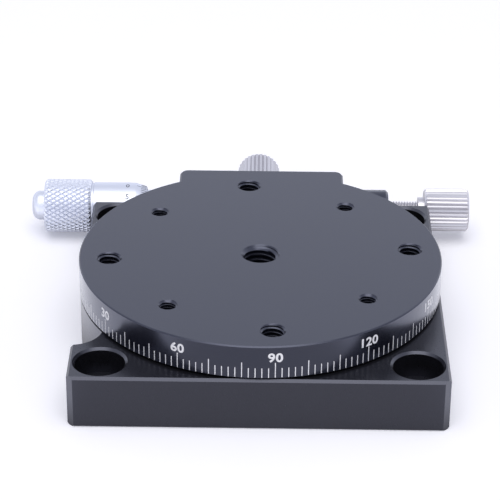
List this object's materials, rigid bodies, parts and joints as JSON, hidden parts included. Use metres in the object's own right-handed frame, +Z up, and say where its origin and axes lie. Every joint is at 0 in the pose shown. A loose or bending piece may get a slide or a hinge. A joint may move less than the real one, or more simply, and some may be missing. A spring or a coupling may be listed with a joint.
{
  "type": "rotation stage",
  "caption": "Low round table turning on a square base with corner mounting holes, tapped top and degree scale; a rear micrometer gives fine rotation and two knurled screws lock it.",
  "frame": {"origin": "on the rotation axis at the base's underside, the centre of the four base holes", "axes": "+Z up along the rotation axis, +Y towards the drive block, +X towards the fine-lock knob"},
  "size_m": [0.079, 0.0785, 0.015],
  "materials": {
    "black_anodised": "black anodised, fine satin",
    "satin_chrome": "satin chrome",
    "stainless_steel": "turned stainless steel",
    "bearing_steel": "ground bearing steel",
    "screw_steel": "black oxide",
    "brass": "turned brass",
    "spring_steel": "drawn wire",
    "slide_plastic": "matte white"
  },
  "bodies": {
    "base": {"base_plate": "black_anodised", "drive_block": "black_anodised", "block_screws": "screw_steel", "bearing_outer_ring": "bearing_steel", "bearing_retainer": "black_anodised", "retainer_screws": "screw_steel", "arm_slide_washer": "slide_plastic", "arm_circlip": "spring_steel", "micrometer_stem": "satin_chrome", "spring_sleeve": "black_anodised", "clamp_grub_screws": "screw_steel", "return_spring": "spring_steel"},
    "arm": {"tangent_arm": "black_anodised", "anvil_button": "bearing_steel"},
    "table": {"table_disc": "black_anodised", "bearing_inner_ring": "bearing_steel", "hub_clamp_plate": "black_anodised", "clamp_plate_screws": "screw_steel"},
    "roller_set": {"bearing_rollers": "bearing_steel", "roller_cage": "brass"},
    "spindle": {"micrometer_spindle": "bearing_steel"},
    "thimble": {"micrometer_thimble": "satin_chrome", "thimble_end_cap": "satin_chrome"},
    "plunger": {"plunger_pin": "bearing_steel"},
    "fine_lock_nose": {"fine_lock_tip": "brass"},
    "fine_lock_screw": {"fine_lock_stud": "stainless_steel", "fine_lock_knob": "stainless_steel"},
    "coarse_lock_nose": {"coarse_clamp_pad": "brass"},
    "coarse_lock_screw": {"coarse_lock_stud": "stainless_steel", "coarse_lock_knob": "stainless_steel"}
  },
  "joints": [
    {"name": "arm_swing", "type": "hinge", "parent": "base", "child": "arm", "pos_m": [0, 0, 0.0033], "axis": [0, 0, 1], "range_deg": [-5, 5]},
    {"name": "table_turn", "type": "hinge", "parent": "arm", "child": "table", "pos_m": [0, 0, 0.005], "axis": [0, 0, 1], "continuous": true},
    {"name": "roller_orbit", "type": "hinge", "parent": "base", "child": "roller_set", "pos_m": [0, 0, 0.005], "axis": [0, 0, 1], "continuous": true},
    {"name": "spindle_slide", "type": "slide", "parent": "base", "child": "spindle", "axis": [1, 0, 0], "range_m": [-0.00304, 0.00304]},
    {"name": "thimble_turn", "type": "hinge", "parent": "spindle", "child": "thimble", "pos_m": [-0.03, 0.0349, 0.0055], "axis": [1, 0, 0], "range_deg": [-2190, 2190]},
    {"name": "plunger_slide", "type": "slide", "parent": "base", "child": "plunger", "axis": [1, 0, 0], "range_m": [-0.00304, 0.00304], "deforming": ["return_spring"]},
    {"name": "fine_lock_slide", "type": "slide", "parent": "base", "child": "fine_lock_nose", "axis": [1, 0, 0], "range_m": [0, 0.002]},
    {"name": "fine_lock_turn", "type": "hinge", "parent": "fine_lock_nose", "child": "fine_lock_screw", "pos_m": [0.03, 0.0349, 0.0055], "axis": [1, 0, 0], "range_deg": [0, 1439]},
    {"name": "coarse_lock_slide", "type": "slide", "parent": "arm", "child": "coarse_lock_nose", "axis": [0, 1, 0], "range_m": [0, 0.001]},
    {"name": "coarse_lock_turn", "type": "hinge", "parent": "coarse_lock_nose", "child": "coarse_lock_screw", "pos_m": [-0.0005, 0.04, 0.0061], "axis": [0, 1, 0], "range_deg": [0, 719]}
  ],
  "couplings": [
    {"joint": "thimble_turn", "follows": "spindle_slide", "rad_per_m": 12566},
    {"joint": "plunger_slide", "follows": "spindle_slide", "ratio": 1},
    {"joint": "arm_swing", "follows": "spindle_slide", "rad_per_m": -28.653},
    {"joint": "fine_lock_turn", "follows": "fine_lock_slide", "rad_per_m": 12566},
    {"joint": "coarse_lock_turn", "follows": "coarse_lock_slide", "rad_per_m": 12566},
    {"joint": "roller_orbit", "follows": "table_turn", "ratio": 0.5}
  ]
}
